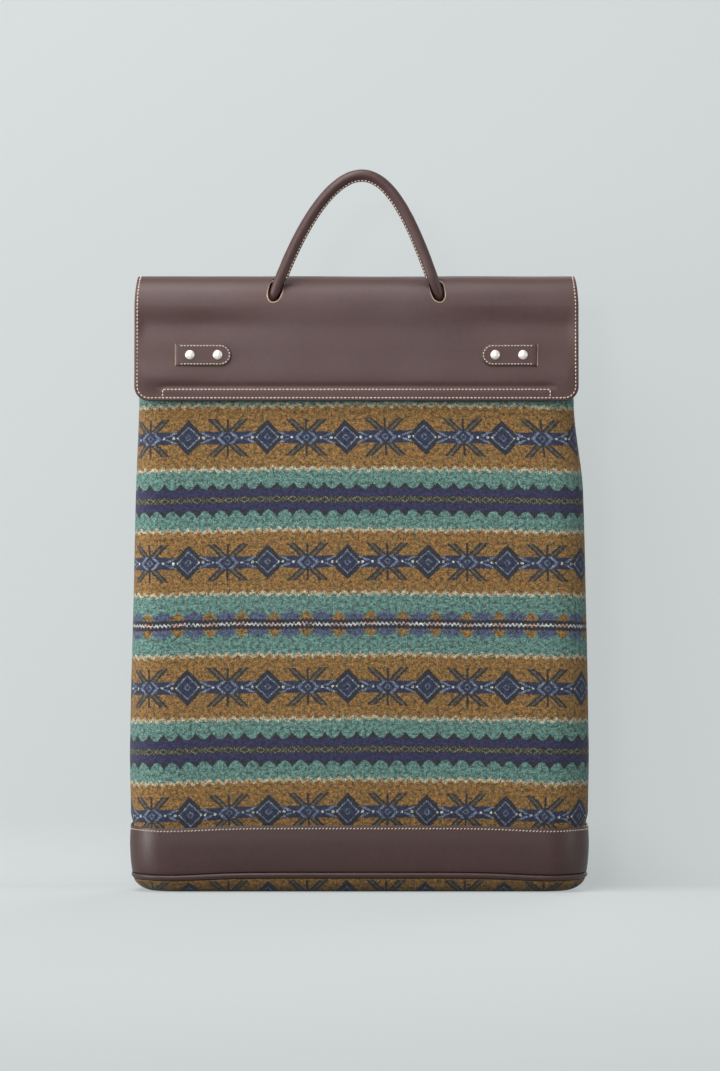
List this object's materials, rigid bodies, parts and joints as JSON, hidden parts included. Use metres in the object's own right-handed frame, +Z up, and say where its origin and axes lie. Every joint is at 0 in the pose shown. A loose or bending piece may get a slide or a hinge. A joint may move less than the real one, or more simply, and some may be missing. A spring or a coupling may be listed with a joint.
{
  "type": "patterned wool backpack with leather flap",
  "caption": "Tall backpack of patterned wool with a leather fold-over flap, rolled leather top handle, leather base band and shoulder straps.",
  "frame": {"origin": "centre of the base, on the surface that the bag stands on", "axes": "+Z up through the mouth, the front with its flap towards -Y, the width along X"},
  "size_m": [0.412, 0.1415, 0.651],
  "materials": {
    "wool": "felted wool with a traditional knitted pattern in ochre, teal and navy bands",
    "leather": "smooth dark brown leather with a soft sheen and cream stitching",
    "lining": "plain dark woven cotton",
    "board": "plain stiff fibreboard",
    "nickel": "polished nickel"
  },
  "bodies": {
    "bag": {"front_panel": "wool", "back_panel": "wool", "base_panel": "wool", "lining": "lining", "base_board": "board", "base_band": "leather", "base_piping": "leather", "mouth_binding": "leather", "back_yoke": "leather", "shoulder_strap_left": "leather", "shoulder_strap_right": "leather", "strap_tail_left": "leather", "strap_tail_right": "leather", "strap_stud_left": "nickel", "strap_stud_right": "nickel", "strap_rivet_left_upper": "nickel", "strap_rivet_left_lower": "nickel", "strap_rivet_right_upper": "nickel", "strap_rivet_right_lower": "nickel"},
    "flap": {"flap": "leather", "flap_stiffener": "leather", "flap_tab_left": "leather", "flap_tab_right": "leather", "tab_rivet_left_inner": "nickel", "tab_rivet_left_outer": "nickel", "tab_rivet_right_inner": "nickel", "tab_rivet_right_outer": "nickel", "handle_loop_left": "leather", "handle_loop_right": "leather", "handle_rivet_left": "nickel", "handle_rivet_right": "nickel"},
    "handle": {"handle": "leather"}
  },
  "joints": [
    {"name": "flap_hinge", "type": "hinge", "parent": "bag", "child": "flap", "pos_m": [0, 0.02641, 0.526], "axis": [-1, 0, 0], "range_deg": [0, 175]},
    {"name": "handle_swing", "type": "hinge", "parent": "flap", "child": "handle", "pos_m": [0, -0.01721, 0.529], "axis": [-1, 0, 0], "range_deg": [-8, 18]}
  ]
}
